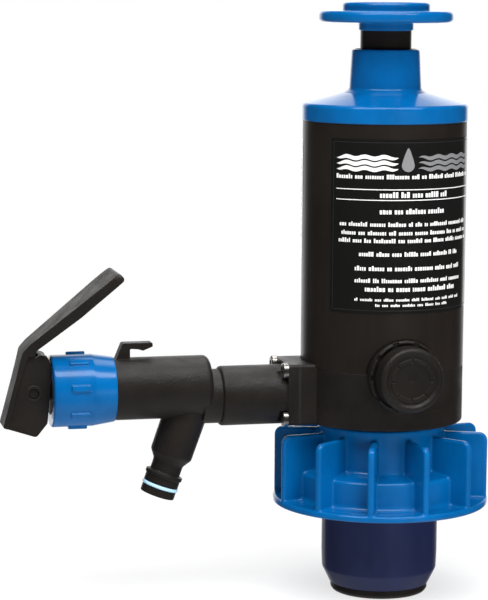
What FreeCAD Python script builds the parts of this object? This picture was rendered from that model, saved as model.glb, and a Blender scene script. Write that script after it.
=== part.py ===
import FreeCAD, Part
import math
import os

# Hand pump for a drum: a plunger pump pressurises the drum and a lever tap dispenses from it.
# Millimetres. +Z is up along the pump, the origin is the dip-tube mouth at the foot of the neck.
# The tap arm runs along -X and the relief knob faces -Y.

V = FreeCAD.Vector
os.makedirs("parts", exist_ok=True)

# clearances
fit_gap = 0.15        # between assembled, fixed pieces
run_gap = 0.06        # radial, a shaft in its bearing
free_gap = 0.3        # between pieces that move past each other
touch_gap = 0.1       # between flat faces that meet when something moves
seal_gap = 0.02       # between an O-ring and the wall it seals

# neck, bung sleeve and slip washer
sleeve_r = 28.0
sleeve_wall = 9.0
sleeve_top = 46.0
sleeve_taper = 3.7            # how far the foot of the sleeve is drawn in
sleeve_taper_top = 11.9
thread_step = 2.5             # the neck's thread over its plain part
foot_step = 2.0               # the neck's foot under its plain part
socket_r = 9.7                # dip tube
socket_depth = 22.0
liquid_r = 7.5
air_hole_r = 1.8
air_hole_inset = 3.6          # air hole centres inside the neck's foot
end_ring_lip = 0.8            # end ring inside the sleeve's foot
end_ring_top = 4.2
washer_lip = 1.0              # slip washer over the sleeve
washer_thick = 2.9

# lock ring
ring_lap = 1.8                # lock ring reaches down over the sleeve
ring_wall = 2.5               # upper hub over the sleeve
lower_hub_step = 10.8
flange_width = 10.77
flange_thick = 3.1
lower_hub_height = 13.3
step_height = 1.9
upper_hub_height = 20.5
fin_count = 12
fin_thick = 3.2
fin_inset = 0.5               # fins inside the flange's rim
fin_height = 31.7
fin_corner = 4.0
fin_first_deg = 9.0

# base and barrel
base_gap = 1.8                # open space between lock ring and base
base_height = 27.2
barrel_r = 39.0
barrel_wall = 3.0
barrel_len = 116.3
spigot_len = 26.0
chamber_inset = 9.5           # air chamber inside the barrel's bore
chamber_depth = 30.5
plate_thick = 3.0
plate_screw_count = 6
neck_plug_len = 5.2

# check valve
port_count = 6
port_r = 1.8
port_ring_r = 5.5
disc_r = 9.4
disc_thick = 2.0
cage_r = 12.5
cage_wall = 2.5
cage_depth = 12.0

# top cap
cap_lip = 0.5                 # cap over the barrel
cap_rim = 7.9
cap_cone_r = 20.0
cap_cone_rise = 5.2
cap_neck_len = 20.5
cap_neck_wall = 1.7
cap_neck_flare = 1.0
cap_spigot_depth = 11.3
cap_spigot_wall = 4.85
cap_ceiling_rise = 2.7
bush_wall = 2.4
bush_len = 20.5
wiper_len = 6.0
bumper_wall = 5.4
bumper_thick = 6.5

# plunger
rod_r = 12.1
rod_show = 8.6                # black rod showing under the knob
rod_plug_r = 9.5
rod_plug_len = 6.0
plunger_down = 8.0            # from rest down to its stop
piston_gap = 1.5              # piston to valve plate at the bottom of the stroke
piston_thick = 10.0
piston_web = 4.1
piston_lip = 0.4
piston_groove = 4.0
piston_land = 2.5
piston_hub_wall = 3.9
piston_hub_len = 8.0
piston_tail_r = 6.0
piston_nut_across = 19.0
piston_nut_thick = 5.3
knob_hub_r = 13.05
knob_hub_len = 4.0
knob_r = 31.85
knob_edge = 5.2
knob_rise = 0.7
knob_cap_r = 20.7
knob_cap_sunk = 1.8
knob_cap_thick = 5.1

# relief valve, on a horizontal axis towards -Y
relief_drop = 1.0             # axis below the seam
boss_r = 17.3
boss_stand = 2.0              # boss in front of the barrel
boss_recess_r = 15.7
boss_recess = 1.2
boss_notch_count = 10
relief_knob_r = 15.25
relief_knob_gap = 1.0
relief_knob_len = 10.0
knob_mark_count = 8            # raised marks round its face
relief_stem_r = 4.0
relief_seal_r = 5.0
relief_seat_depth = 10.0      # valve seat behind the boss face

# outlet and tap, on horizontal axes towards -X
outlet_rise = 13.2            # outlet axis over the base's foot
pad_half = 14.6
pad_base = 4.6                # base's part of the pad, out from the barrel
pad_plate = 5.0               # outlet tube's part of the pad
gasket_thick = 1.0
pad_screw_half = 11.5
screw_head_r = 3.75
screw_head_len = 2.6
screw_r = 2.0
tube_r = 14.2
tube_len = 30.9
tube_bore_r = 7.0
tap_plug_r = 9.0
tap_plug_len = 14.2
tap_collar_r = 12.9
tap_collar_len = 4.8
tap_rise = 4.95               # tap axis over the outlet axis
tap_r = 14.75
tap_len = 64.9
tap_wall = 3.95
seat_depth = 5.7              # seat face from the start of the tap
seat_hole_r = 5.0
nut_len = 29.6
nut_cone = 10.3
nut_wall = 2.2
nut_overhang = 10.8           # nut past the end of the tap
nut_lug = 1.15
nut_lug_len = 8.8
nut_lug_count = 8
nut_lug_back = 2.6            # lugs behind the end of the cone
nut_lug_first_deg = 12.0
bonnet_thick = 7.7
bonnet_boss_r = 10.7
bonnet_stand = 0.2            # bonnet boss past the nut
bonnet_plug = 5.2
tap_stem_r = 4.0
pivot_stand = 8.2             # lever pivot past the bonnet
pin_r = 2.5
eye_r = 5.8
eye_half = 4.2

# spout, leaning outwards
spout_lean_deg = 19.45
spout_len = 54.67             # tip to tap axis
spout_root = 6.6              # where its axis meets the tap's, from the start of the tap
spout_bore_r = 5.5
spout_land_r = 8.3

# lever, outline measured from its pivot: first towards the tap, then up
lever_half = 7.2              # its outer plate
cheek_half = 6.5
lever_tip_half = 14.0
lever_slot_gap = 0.3
cam_flat = 8.1
cam_z = 11.3
cam_r = 10.86

# labels
label_thick = 0.25
label_lift = 0.03
front_label_low = 28.7        # from the seam
front_label_height = 80.7
front_label_deg = (-54.7, 68.0)
side_label_low = 51.0
side_label_height = 56.0
side_label_deg = (-150.0, -97.0)

# neck and lock ring, worked out
neck_r = sleeve_r - sleeve_wall
neck_thread_r = neck_r + thread_step
neck_foot_r = neck_r - foot_step
air_ring_r = neck_foot_r - air_hole_inset
sleeve_foot_r = sleeve_r - sleeve_taper
end_ring_r = sleeve_foot_r - end_ring_lip
washer_r = sleeve_r + washer_lip
washer_bottom = sleeve_top + touch_gap
washer_top = washer_bottom + washer_thick
lock_recess_r = washer_r + free_gap
lock_recess_top = washer_top + touch_gap
thread_bottom = lock_recess_top + 0.2
ring_bottom = sleeve_top - ring_lap
flange_top = ring_bottom + flange_thick
upper_hub_r = sleeve_r + ring_wall
lower_hub_r = upper_hub_r + lower_hub_step
flange_r = lower_hub_r + flange_width
fin_r = flange_r - fin_inset
lower_hub_top = flange_top + lower_hub_height
step_top = lower_hub_top + step_height
hub_top = step_top + upper_hub_height
fin_top = flange_top + fin_height

# base and barrel, worked out
base_bottom = hub_top + base_gap
seam_z = base_bottom + base_height
barrel_bore = barrel_r - barrel_wall
barrel_top = seam_z + barrel_len
spigot_r = barrel_bore - fit_gap
spigot_top = seam_z + spigot_len
chamber_r = barrel_bore - chamber_inset
chamber_floor = spigot_top - chamber_depth
plate_top = spigot_top + plate_thick
plate_screw_ring_r = chamber_r + 3.0
neck_plug_top = base_bottom + neck_plug_len
disc_top = spigot_top - touch_gap
disc_bottom = disc_top - disc_thick
cage_bottom = spigot_top - cage_depth
cage_floor = cage_bottom + 2.0

# cap and plunger, worked out
cap_r = barrel_r + cap_lip
cap_rim_top = barrel_top + cap_rim
cap_cone_top = cap_rim_top + cap_cone_rise
cap_top = cap_cone_top + cap_neck_len
cap_ceiling = barrel_top + cap_ceiling_rise
cap_bore_r = spigot_r - cap_spigot_wall
bush_r = rod_r + bush_wall
bush_top = cap_ceiling + 0.5 + bush_len
cap_neck_r = bush_r + cap_neck_wall
cap_neck_foot_r = cap_neck_r + cap_neck_flare
wiper_top = cap_top - 0.9
wiper_bottom = wiper_top - wiper_len
bumper_r = rod_r + bumper_wall
rod_shoulder = cap_top + rod_show
knob_under = rod_shoulder + knob_hub_len
knob_edge_top = knob_under + knob_edge
knob_rim_top = knob_edge_top + knob_rise
knob_cap_floor = knob_rim_top - knob_cap_sunk
knob_cap_top = knob_cap_floor + touch_gap + knob_cap_thick
piston_bottom = plate_top + piston_gap + plunger_down
piston_top = piston_bottom + piston_thick
hub_end = piston_top + piston_hub_len
piston_hub_r = rod_r + piston_hub_wall

# relief valve, worked out
relief_z = seam_z - relief_drop
boss_face = barrel_r + boss_stand
relief_seat_y = boss_face - relief_seat_depth
relief_knob_back = boss_face + relief_knob_gap
relief_knob_face = relief_knob_back + relief_knob_len

# outlet and tap, worked out
outlet_z = base_bottom + outlet_rise
pad_z = base_bottom + pad_half
pad_joint = barrel_r + pad_base
pad_face = pad_joint + gasket_thick + pad_plate
screw_end = barrel_r - 0.4
tube_end = pad_face + tube_len
tap_z = outlet_z + tap_rise
tap_start = tube_end + tap_collar_len
tap_end = tap_start + tap_len
tap_bore_r = tap_r - tap_wall
seat_face = tap_start + seat_depth
nut_end = tap_end + nut_overhang
nut_start = nut_end - nut_len
nut_full = nut_start + nut_cone
nut_bore_r = tap_r + touch_gap
nut_r = nut_bore_r + nut_wall
bonnet_face = nut_end + bonnet_stand
bonnet_flange_end = tap_end + touch_gap + bonnet_thick
pivot_x = bonnet_face + pivot_stand
lever_slot_half = eye_half + lever_slot_gap

# axes
arm = V(-1, 0, 0)
front = V(0, -1, 0)
lean = math.radians(spout_lean_deg)
spout_up = V(math.sin(lean), 0, math.cos(lean))
spout_tip = V(-(tap_start + spout_root), 0, tap_z) - spout_up * spout_len


def outline(corners):
    """Closed wire in the XZ plane through (x, z) corners; a third number rounds that corner."""
    points = [V(c[0], 0, c[1]) for c in corners]
    rounds = [c[2] if len(c) > 2 else 0.0 for c in corners]
    starts = []
    ends = []
    arcs = []
    for i, here in enumerate(points):
        into = (here - points[i - 1]).normalize()
        away = (points[(i + 1) % len(points)] - here).normalize()
        half_turn = into.getAngle(away) / 2
        back = rounds[i] * math.tan(half_turn)
        starts.append(here - into * back)
        ends.append(here + away * back)
        if rounds[i] > 0:
            inward = (away - into).normalize()
            middle = here + inward * (rounds[i] / math.cos(half_turn) - rounds[i])
            arcs.append(Part.Arc(starts[i], middle, ends[i]).toShape())
        else:
            arcs.append(None)
    edges = []
    for i in range(len(points)):
        if arcs[i]:
            edges.append(arcs[i])
        following = starts[(i + 1) % len(points)]
        if ends[i].distanceToPoint(following) > 1e-6:
            edges.append(Part.makeLine(ends[i], following))
    return Part.Wire(edges)


def turned(corners):
    """Solid of revolution about Z from (radius, height) corners."""
    return Part.Face(outline(corners)).revolve(V(0, 0, 0), V(0, 0, 1), 360)


def slab(corners, half_width):
    """Outline in the XZ plane, thickened equally to both sides along Y."""
    face = Part.Face(outline(corners))
    face.translate(V(0, -half_width, 0))
    return face.extrude(V(0, 2 * half_width, 0))


def laid(shape, origin, direction):
    """Turn a shape made about +Z to point along direction, and move it to origin."""
    turn = FreeCAD.Placement(origin, FreeCAD.Rotation(V(0, 0, 1), direction))
    shape.Placement = turn.multiply(shape.Placement)
    return shape


def along_arm(corners, z):
    """Solid of revolution on a horizontal axis at height z, heights measured from the pump axis."""
    return laid(turned(corners), V(0, 0, z), arm)


def along_front(corners):
    """Solid of revolution on the relief valve's axis, heights measured from the pump axis."""
    return laid(turned(corners), V(0, 0, relief_z), front)


def along_spout(corners):
    """Solid of revolution on the spout's axis, heights measured from its tip."""
    return laid(turned(corners), spout_tip, spout_up)


def rod(radius, start, end):
    """Corners of a plain round bar, for the functions above."""
    return [(0, start), (radius, start), (radius, end), (0, end)]


def tube(inner, outer, start, end, rounding=0.0):
    """Corners of a plain ring, its outer edges rounded."""
    return [(inner, start), (outer, start, rounding), (outer, end, rounding), (inner, end)]


def o_ring(middle_r, thick_r, height):
    """Round-section ring about Z."""
    return Part.makeTorus(middle_r, thick_r, V(0, 0, height))


def ring_of(shape, count, first_deg=0.0):
    """Copies of a shape spaced evenly about Z."""
    copies = []
    for i in range(count):
        copy = shape.copy()
        copy.rotate(V(0, 0, 0), V(0, 0, 1), first_deg + 360.0 * i / count)
        copies.append(copy)
    return copies


def coil(radius, wire_r, start, end, turns):
    """Compression spring about Z."""
    length = end - start - 2 * wire_r
    path = Part.makeHelix(length / turns, length, radius)
    path.translate(V(0, 0, start + wire_r))
    section = Part.Wire(Part.makeCircle(wire_r, V(radius, 0, start + wire_r), V(0, 1, 0)))
    return Part.Wire(path.Edges).makePipeShell([section], True, True)


def curved_plate(inner, outer, heights, degrees):
    """Thin part-cylinder about Z; degrees run from -Y towards +X."""
    corners = [(inner, heights[0]), (outer, heights[0]), (outer, heights[1]), (inner, heights[1])]
    plate = Part.Face(outline(corners)).revolve(V(0, 0, 0), V(0, 0, 1), degrees[1] - degrees[0])
    plate.rotate(V(0, 0, 0), V(0, 0, 1), degrees[0] - 90)
    return plate


def hexagon(across, start, end):
    """Hexagonal bar about Z."""
    corner_r = across / math.sqrt(3)
    points = [V(corner_r * math.cos(math.radians(a)), corner_r * math.sin(math.radians(a)), start)
              for a in range(0, 361, 60)]
    return Part.Face(Part.makePolygon(points)).extrude(V(0, 0, end - start))


def save(name, shape):
    """Write one piece; a list of solids becomes one group."""
    group = Part.makeCompound(shape) if isinstance(shape, list) else shape
    group.exportStep("parts/" + name + ".step")


# ---------------------------------------------------------------- neck and bung seal

def air_holes(start, end):
    """Air passages round the liquid bore, kept clear of the outlet side."""
    hole = Part.makeCylinder(air_hole_r, end - start, V(air_ring_r, 0, start))
    holes = []
    for degrees in (0, 55, 110, -55, -110):
        copy = hole.copy()
        copy.rotate(V(0, 0, 0), V(0, 0, 1), degrees)
        holes.append(copy)
    return holes


neck_ring_r = 1.3
neck_ring_z = base_bottom + 2.6


def make_neck_tube():
    groove = neck_r + fit_gap - seal_gap - 2 * neck_ring_r - seal_gap
    neck = turned([(0, 0), (neck_foot_r, 0, 0.6), (neck_foot_r, end_ring_top), (neck_r, end_ring_top),
                   (neck_r, thread_bottom), (neck_thread_r, thread_bottom, 0.5),
                   (neck_thread_r, base_bottom), (neck_r, base_bottom),
                   (neck_r, neck_ring_z - neck_ring_r - 0.1), (groove, neck_ring_z - neck_ring_r - 0.1),
                   (groove, neck_ring_z + neck_ring_r + 0.1), (neck_r, neck_ring_z + neck_ring_r + 0.1),
                   (neck_r, neck_plug_top), (0, neck_plug_top)])
    neck = neck.cut(Part.makeCylinder(socket_r, socket_depth))
    neck = neck.cut(Part.makeCylinder(liquid_r, neck_plug_top))
    return neck.cut(air_holes(0, neck_plug_top))


def make_neck_oring():
    return o_ring(neck_r + fit_gap - seal_gap - neck_ring_r, neck_ring_r, neck_ring_z)


def make_neck_end_ring():
    inner = neck_foot_r + fit_gap
    return turned([(inner, 0.3), (end_ring_r - 1.0, 0.3, 1.2), (end_ring_r, 1.8, 1.0),
                   (end_ring_r, end_ring_top), (inner, end_ring_top)])


def make_bung_sleeve():
    inner = neck_r + fit_gap
    bottom = end_ring_top + touch_gap
    return turned([(inner, bottom), (sleeve_foot_r, bottom, 0.8), (sleeve_r, sleeve_taper_top, 2.0),
                   (sleeve_r, sleeve_top, 0.6), (inner, sleeve_top)])


def make_slip_washer():
    return turned(tube(neck_thread_r + free_gap, washer_r, washer_bottom, washer_top, 0.3))


def make_lock_ring():
    bore = neck_thread_r + run_gap
    hub = turned([(lock_recess_r, ring_bottom), (flange_r, ring_bottom, 0.8), (flange_r, flange_top, 1.3),
                  (lower_hub_r, flange_top, 2.5), (lower_hub_r, lower_hub_top, 1.8),
                  (upper_hub_r, step_top, 2.5), (upper_hub_r, hub_top, 1.0), (bore + 1.5, hub_top),
                  (bore, hub_top - 1.5), (bore, lock_recess_top), (lock_recess_r, lock_recess_top)])
    root = lock_recess_r + 0.4
    fin = slab([(root, flange_top - 1), (fin_r, flange_top - 1), (fin_r, fin_top, fin_corner),
                (root, fin_top)],
               fin_thick / 2)
    edges = [e for e in fin.Edges if e.BoundBox.XMax > root + 1 and e.BoundBox.ZMax > flange_top
             and e.BoundBox.YLength < 0.1]
    fin = fin.makeFillet(fin_thick * 0.4, edges)
    ring = hub.fuse(ring_of(fin, fin_count, fin_first_deg - 90)).removeSplitter()
    roots = [e for e in ring.Edges if abs(e.BoundBox.ZMin - flange_top) < 0.01
             and abs(e.BoundBox.ZMax - flange_top) < 0.01 and e.BoundBox.DiagonalLength < 12
             and e.Curve.TypeId == "Part::GeomLine"]
    return ring.makeFillet(1.2, roots)


# ---------------------------------------------------------------- base and barrel

barrel_ring_r = 1.75
barrel_ring_z = spigot_top - 5.0
relief_ring_r = 1.0
relief_ring_y = boss_face - 3.3


def make_base_body():
    groove = barrel_bore - seal_gap - 2 * barrel_ring_r - seal_gap
    half = barrel_ring_r + 0.15
    body = turned([(0, base_bottom), (barrel_r, base_bottom, 1.2), (barrel_r, seam_z, 0.5),
                   (spigot_r, seam_z), (spigot_r, barrel_ring_z - half), (groove, barrel_ring_z - half),
                   (groove, barrel_ring_z + half), (spigot_r, barrel_ring_z + half),
                   (spigot_r, spigot_top), (0, spigot_top)])
    pad = make_pad(barrel_r - 9, pad_joint)
    pad = pad.cut(Part.makeCylinder(barrel_r + fit_gap, base_height, V(0, 0, seam_z)))
    boss = along_front([(0, barrel_r - 10), (boss_r, barrel_r - 10), (boss_r, boss_face, 1.2),
                        (boss_recess_r, boss_face, 0.4), (boss_recess_r, boss_face - boss_recess),
                        (0, boss_face - boss_recess)])
    body = body.fuse([pad, boss])
    seal_room = along_front(rod(relief_seal_r + 0.6, relief_seat_y, relief_seat_y + 4.5))
    stem_bore = along_front(rod(relief_stem_r + run_gap, relief_seat_y, boss_face + 1))
    ring_outer = relief_stem_r + run_gap + 2 * relief_ring_r + seal_gap
    ring_room = along_front(rod(ring_outer, relief_ring_y - 1.05, relief_ring_y + 1.05))
    vent = Part.makeCylinder(1.5, relief_z - base_bottom + 1, V(0, -relief_seat_y - 2.5, base_bottom - 1))
    seat_hole = along_front(rod(2.2, chamber_r - 3, relief_seat_y + 0.5))
    cuts = [turned(rod(chamber_r, chamber_floor, spigot_top + 1)), seal_room, stem_bore, ring_room, vent,
            seat_hole, turned(rod(neck_r + fit_gap, base_bottom - 1, neck_plug_top)),
            turned(rod(liquid_r, base_bottom, outlet_z)),
            along_arm(rod(tube_bore_r, 0, pad_joint + 1), outlet_z)]
    cuts += air_holes(neck_plug_top - 1, chamber_floor + 1)
    cuts += pad_screw_holes(screw_end - 0.5, pad_joint + 1)
    cuts += ring_of(Part.makeCylinder(1.5, 9, V(plate_screw_ring_r, 0, spigot_top - 8)), plate_screw_count)
    notch = Part.makeBox(4, 3, 3, V(boss_recess_r - 1, -1.5, boss_face - boss_recess))
    cuts += [laid(copy, V(0, 0, relief_z), front) for copy in ring_of(notch, boss_notch_count)]
    return body.cut(cuts)


def make_pad(start, end):
    """Square pad that the outlet bolts to, its long edges rounded."""
    width = 2 * pad_half
    pad = Part.makeBox(end - start, width, width, V(-end, -pad_half, pad_z - pad_half))
    return pad.makeFillet(1.5, [e for e in pad.Edges if e.BoundBox.XLength > 0.5])


def pad_screw_places():
    return [(y, pad_z + z) for y in (-pad_screw_half, pad_screw_half)
            for z in (-pad_screw_half, pad_screw_half)]


def pad_screw_holes(start, end):
    return [laid(turned(rod(screw_r + 0.05, start, end)), V(0, y, z), arm) for y, z in pad_screw_places()]


def make_pump_barrel():
    shell = turned(tube(barrel_bore, barrel_r, seam_z, barrel_top))
    notch = along_front(rod(boss_r + free_gap, barrel_bore - 20, barrel_r + 5))
    return shell.cut(notch)


def make_barrel_oring():
    return o_ring(barrel_bore - seal_gap - barrel_ring_r, barrel_ring_r, barrel_ring_z)


def make_valve_plate():
    plate = turned([(0, spigot_top), (spigot_r, spigot_top, 0.3), (spigot_r, plate_top, 0.3), (0, plate_top)])
    ports = ring_of(Part.makeCylinder(port_r, plate_thick + 2, V(port_ring_r, 0, spigot_top - 1)), port_count)
    sink = Part.makeCone(1.6, 3.2, 1.6, V(plate_screw_ring_r, 0, plate_top - 1.6))
    sinks = ring_of(sink, plate_screw_count)
    holes = ring_of(Part.makeCylinder(1.6, 9, V(plate_screw_ring_r, 0, spigot_top - 4)), plate_screw_count)
    return plate.cut(ports + sinks + holes)


def make_plate_screws():
    head = Part.makeCone(1.4, 3.0, 1.6, V(plate_screw_ring_r, 0, plate_top - 1.65))
    shank = Part.makeCylinder(1.4, 7.5, V(plate_screw_ring_r, 0, plate_top - 9))
    return ring_of(head.fuse(shank), plate_screw_count)


def make_check_valve_cage():
    inner = cage_r - cage_wall
    cage = turned([(3.0, cage_bottom), (cage_r, cage_bottom, 0.8), (cage_r, spigot_top), (inner, spigot_top),
                   (inner, cage_floor), (3.0, cage_floor)])
    window = Part.makeCylinder(2.2, cage_r + 1, V(0, 0, cage_bottom + 6), V(1, 0, 0))
    return cage.cut(ring_of(window, 6))


def make_check_valve_disc():
    return turned([(0, disc_bottom - 1.2), (2.6, disc_bottom - 1.2), (2.6, disc_bottom),
                   (disc_r, disc_bottom, 0.4), (disc_r, disc_top, 0.4), (0, disc_top)])


def make_check_valve_spring():
    return coil(4.5, 0.4, cage_floor + touch_gap, disc_bottom - touch_gap, 4)


# ---------------------------------------------------------------- cap, bush and plunger

cap_ring_z = barrel_top - 5.8


def make_top_cap():
    spigot_bottom = barrel_top - cap_spigot_depth
    groove = barrel_bore - seal_gap - 2 * barrel_ring_r - seal_gap
    half = barrel_ring_r + 0.15
    cap = turned([(cap_bore_r, spigot_bottom), (spigot_r, spigot_bottom, 0.5),
                  (spigot_r, cap_ring_z - half), (groove, cap_ring_z - half),
                  (groove, cap_ring_z + half), (spigot_r, cap_ring_z + half),
                  (spigot_r, barrel_top), (cap_r, barrel_top, 0.5), (cap_r, cap_rim_top, 2.0),
                  (cap_cone_r, cap_cone_top, 2.5), (cap_neck_foot_r, cap_cone_top + 1.6, 2.0),
                  (cap_neck_r, cap_top, 1.2), (bush_r + fit_gap, cap_top),
                  (bush_r + fit_gap, cap_ceiling), (cap_bore_r, cap_ceiling)])
    return cap


def make_cap_oring():
    return o_ring(barrel_bore - seal_gap - barrel_ring_r, barrel_ring_r, cap_ring_z)


def make_rod_bush():
    return turned(tube(rod_r + run_gap, bush_r, cap_ceiling + 0.5, bush_top, 0.3))


def make_rod_wiper():
    return turned([(rod_r + run_gap, wiper_bottom), (bush_r, wiper_bottom), (bush_r, wiper_top),
                   (rod_r + 1.4, wiper_top), (rod_r + 0.5, wiper_top + 0.6),
                   (rod_r + run_gap, wiper_top + 0.6)])


def make_rod_bumper():
    return turned(tube(rod_r + free_gap, bumper_r, cap_ceiling - bumper_thick, cap_ceiling, 1.0))


def make_plunger_rod():
    tail_end = piston_bottom + 0.6
    bar = turned([(0, tail_end), (piston_tail_r, tail_end, 0.6), (piston_tail_r, piston_top),
                  (rod_r, piston_top), (rod_r, rod_shoulder), (rod_plug_r, rod_shoulder),
                  (rod_plug_r, rod_shoulder + rod_plug_len),
                  (0, rod_shoulder + rod_plug_len)])
    return bar.cut(Part.makeCylinder(3.05, 16, V(0, 0, rod_shoulder + rod_plug_len - 15)))


def make_piston():
    nut_room = piston_nut_across / math.sqrt(3) + 0.6
    web_bottom = piston_top - piston_web
    seal_low = piston_bottom + piston_land
    seal_high = piston_top - piston_land
    edge_r = barrel_bore - piston_lip
    groove_r = edge_r - piston_groove
    return turned([(piston_tail_r + fit_gap, web_bottom), (nut_room, web_bottom), (nut_room, piston_bottom),
                   (edge_r, piston_bottom, 0.5), (edge_r, seal_low), (groove_r, seal_low),
                   (groove_r, seal_high), (edge_r, seal_high), (edge_r, piston_top, 0.5),
                   (piston_hub_r, piston_top, 1.0), (piston_hub_r, hub_end, 0.8),
                   (rod_r + fit_gap, hub_end), (rod_r + fit_gap, piston_top),
                   (piston_tail_r + fit_gap, piston_top)])


def make_piston_seal():
    low = piston_bottom + piston_land + fit_gap
    high = piston_top - piston_land - fit_gap
    inner = barrel_bore - piston_lip - piston_groove + fit_gap
    outer = barrel_bore - run_gap
    middle = (inner + outer) / 2
    return turned([(inner, low), (middle - 0.6, low), (middle, low + 2.0), (middle + 0.6, low), (outer, low),
                   (outer, high, 0.5), (inner, high, 0.5)])


def make_piston_nut():
    top = piston_top - piston_web
    nut = hexagon(piston_nut_across, top - piston_nut_thick, top)
    return nut.cut(Part.makeCylinder(piston_tail_r + fit_gap, 20, V(0, 0, top - 10)))


def make_plunger_knob():
    hole = rod_plug_r + fit_gap
    plug_top = rod_shoulder + rod_plug_len + touch_gap
    return turned([(hole, rod_shoulder), (knob_hub_r, rod_shoulder, 0.8), (knob_hub_r, knob_under, 1.0),
                   (knob_r, knob_under, 1.8), (knob_r, knob_edge_top, 2.2),
                   (knob_cap_r + 1.2, knob_rim_top, 0.8), (knob_cap_r + fit_gap, knob_rim_top - 0.3),
                   (knob_cap_r + fit_gap, knob_cap_floor), (3.2, knob_cap_floor), (3.2, plug_top),
                   (hole, plug_top)])


def make_knob_cap():
    floor = knob_cap_floor + touch_gap
    return turned([(0, floor + 4.0), (7.0, floor + 4.0), (7.0, floor), (knob_cap_r, floor),
                   (knob_cap_r, knob_cap_top, 1.6), (knob_cap_r - 3.2, knob_cap_top, 1.0),
                   (knob_cap_r - 4.8, knob_cap_top - 0.8, 0.8), (0, knob_cap_top - 0.8)])


def make_knob_screw():
    screw = turned([(0, knob_cap_floor - 15), (3.0, knob_cap_floor - 15), (3.0, knob_cap_floor),
                    (5.0, knob_cap_floor), (5.0, knob_cap_floor + 3.2, 0.8), (0, knob_cap_floor + 3.2)])
    return screw.cut(hexagon(4, knob_cap_floor + 1.2, knob_cap_floor + 4))


# ---------------------------------------------------------------- relief valve

def make_relief_stem():
    start = relief_seat_y + touch_gap + 2.0
    return along_front([(0, start), (relief_seal_r, start), (relief_seal_r, start + 0.8),
                        (relief_stem_r, start + 0.8), (relief_stem_r, relief_knob_face - 4, 0.4),
                        (0, relief_knob_face - 4)])


def make_relief_seal():
    start = relief_seat_y + touch_gap
    return along_front([(0, start), (relief_seal_r, start, 0.3), (relief_seal_r, start + 2.0),
                        (0, start + 2.0)])


def make_relief_oring():
    ring = o_ring(relief_stem_r + run_gap + relief_ring_r, relief_ring_r, relief_ring_y)
    return laid(ring, V(0, 0, relief_z), front)


def make_relief_knob():
    face = relief_knob_face
    knob = along_front([(0, relief_knob_back), (relief_knob_r, relief_knob_back, 0.6),
                        (relief_knob_r, face, 2.0), (12.6, face, 0.6), (11.4, face - 1.0, 0.6),
                        (10.2, face - 1.0), (10.2, face - 0.4, 0.2), (8.4, face - 0.4, 0.2),
                        (8.4, face - 1.0), (0, face - 1.4)])
    socket = along_front(rod(relief_stem_r + run_gap, relief_knob_back - 1, face - 3.8))
    gap = Part.makeBox(2.6, 1.4, 1, V(8.0, -0.7, face - 1.0))
    gaps = [laid(copy, V(0, 0, relief_z), front) for copy in ring_of(gap, knob_mark_count)]
    return knob.cut([socket] + gaps)


# ---------------------------------------------------------------- outlet and tap

plug_ring_r = 1.2
stem_ring_r = 1.2
stem_ring_x = bonnet_face - 6.2
bonnet_ring_x = tap_end - bonnet_plug / 2


def make_flange_gasket():
    gasket = make_pad(pad_joint, pad_joint + gasket_thick)
    return gasket.cut([along_arm(rod(tube_bore_r + 1, 0, pad_face), outlet_z)]
                      + pad_screw_holes(pad_joint - 1, pad_face))


def make_outlet_tube():
    start = pad_joint + gasket_thick
    pad = make_pad(start, pad_face)
    pipe = along_arm([(0, start), (tube_r, start), (tube_r, tube_end, 1.5), (0, tube_end)], outlet_z)
    socket_start = tube_end - tap_plug_len - touch_gap
    bore = along_arm([(0, start - 1), (tube_bore_r, start - 1), (tube_bore_r, socket_start),
                      (tap_plug_r + fit_gap, socket_start), (tap_plug_r + fit_gap, tube_end + 1),
                      (0, tube_end + 1)], outlet_z)
    rooms = [laid(turned(rod(screw_head_r + 0.5, pad_face, pad_face + screw_head_len + 1.5)), V(0, y, z), arm)
             for y, z in pad_screw_places()]
    return pad.fuse(pipe).cut([bore] + rooms + pad_screw_holes(start - 1, pad_face + 1))


def make_flange_screws():
    screws = []
    for y, z in pad_screw_places():
        screw = turned([(0, screw_end), (screw_r, screw_end), (screw_r, pad_face), (screw_head_r, pad_face),
                        (screw_head_r, pad_face + screw_head_len, 0.9), (0, pad_face + screw_head_len)])
        screw = screw.cut(hexagon(3.4, pad_face + 0.6, pad_face + 3))
        screws.append(laid(screw, V(0, y, z), arm))
    return screws


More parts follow.
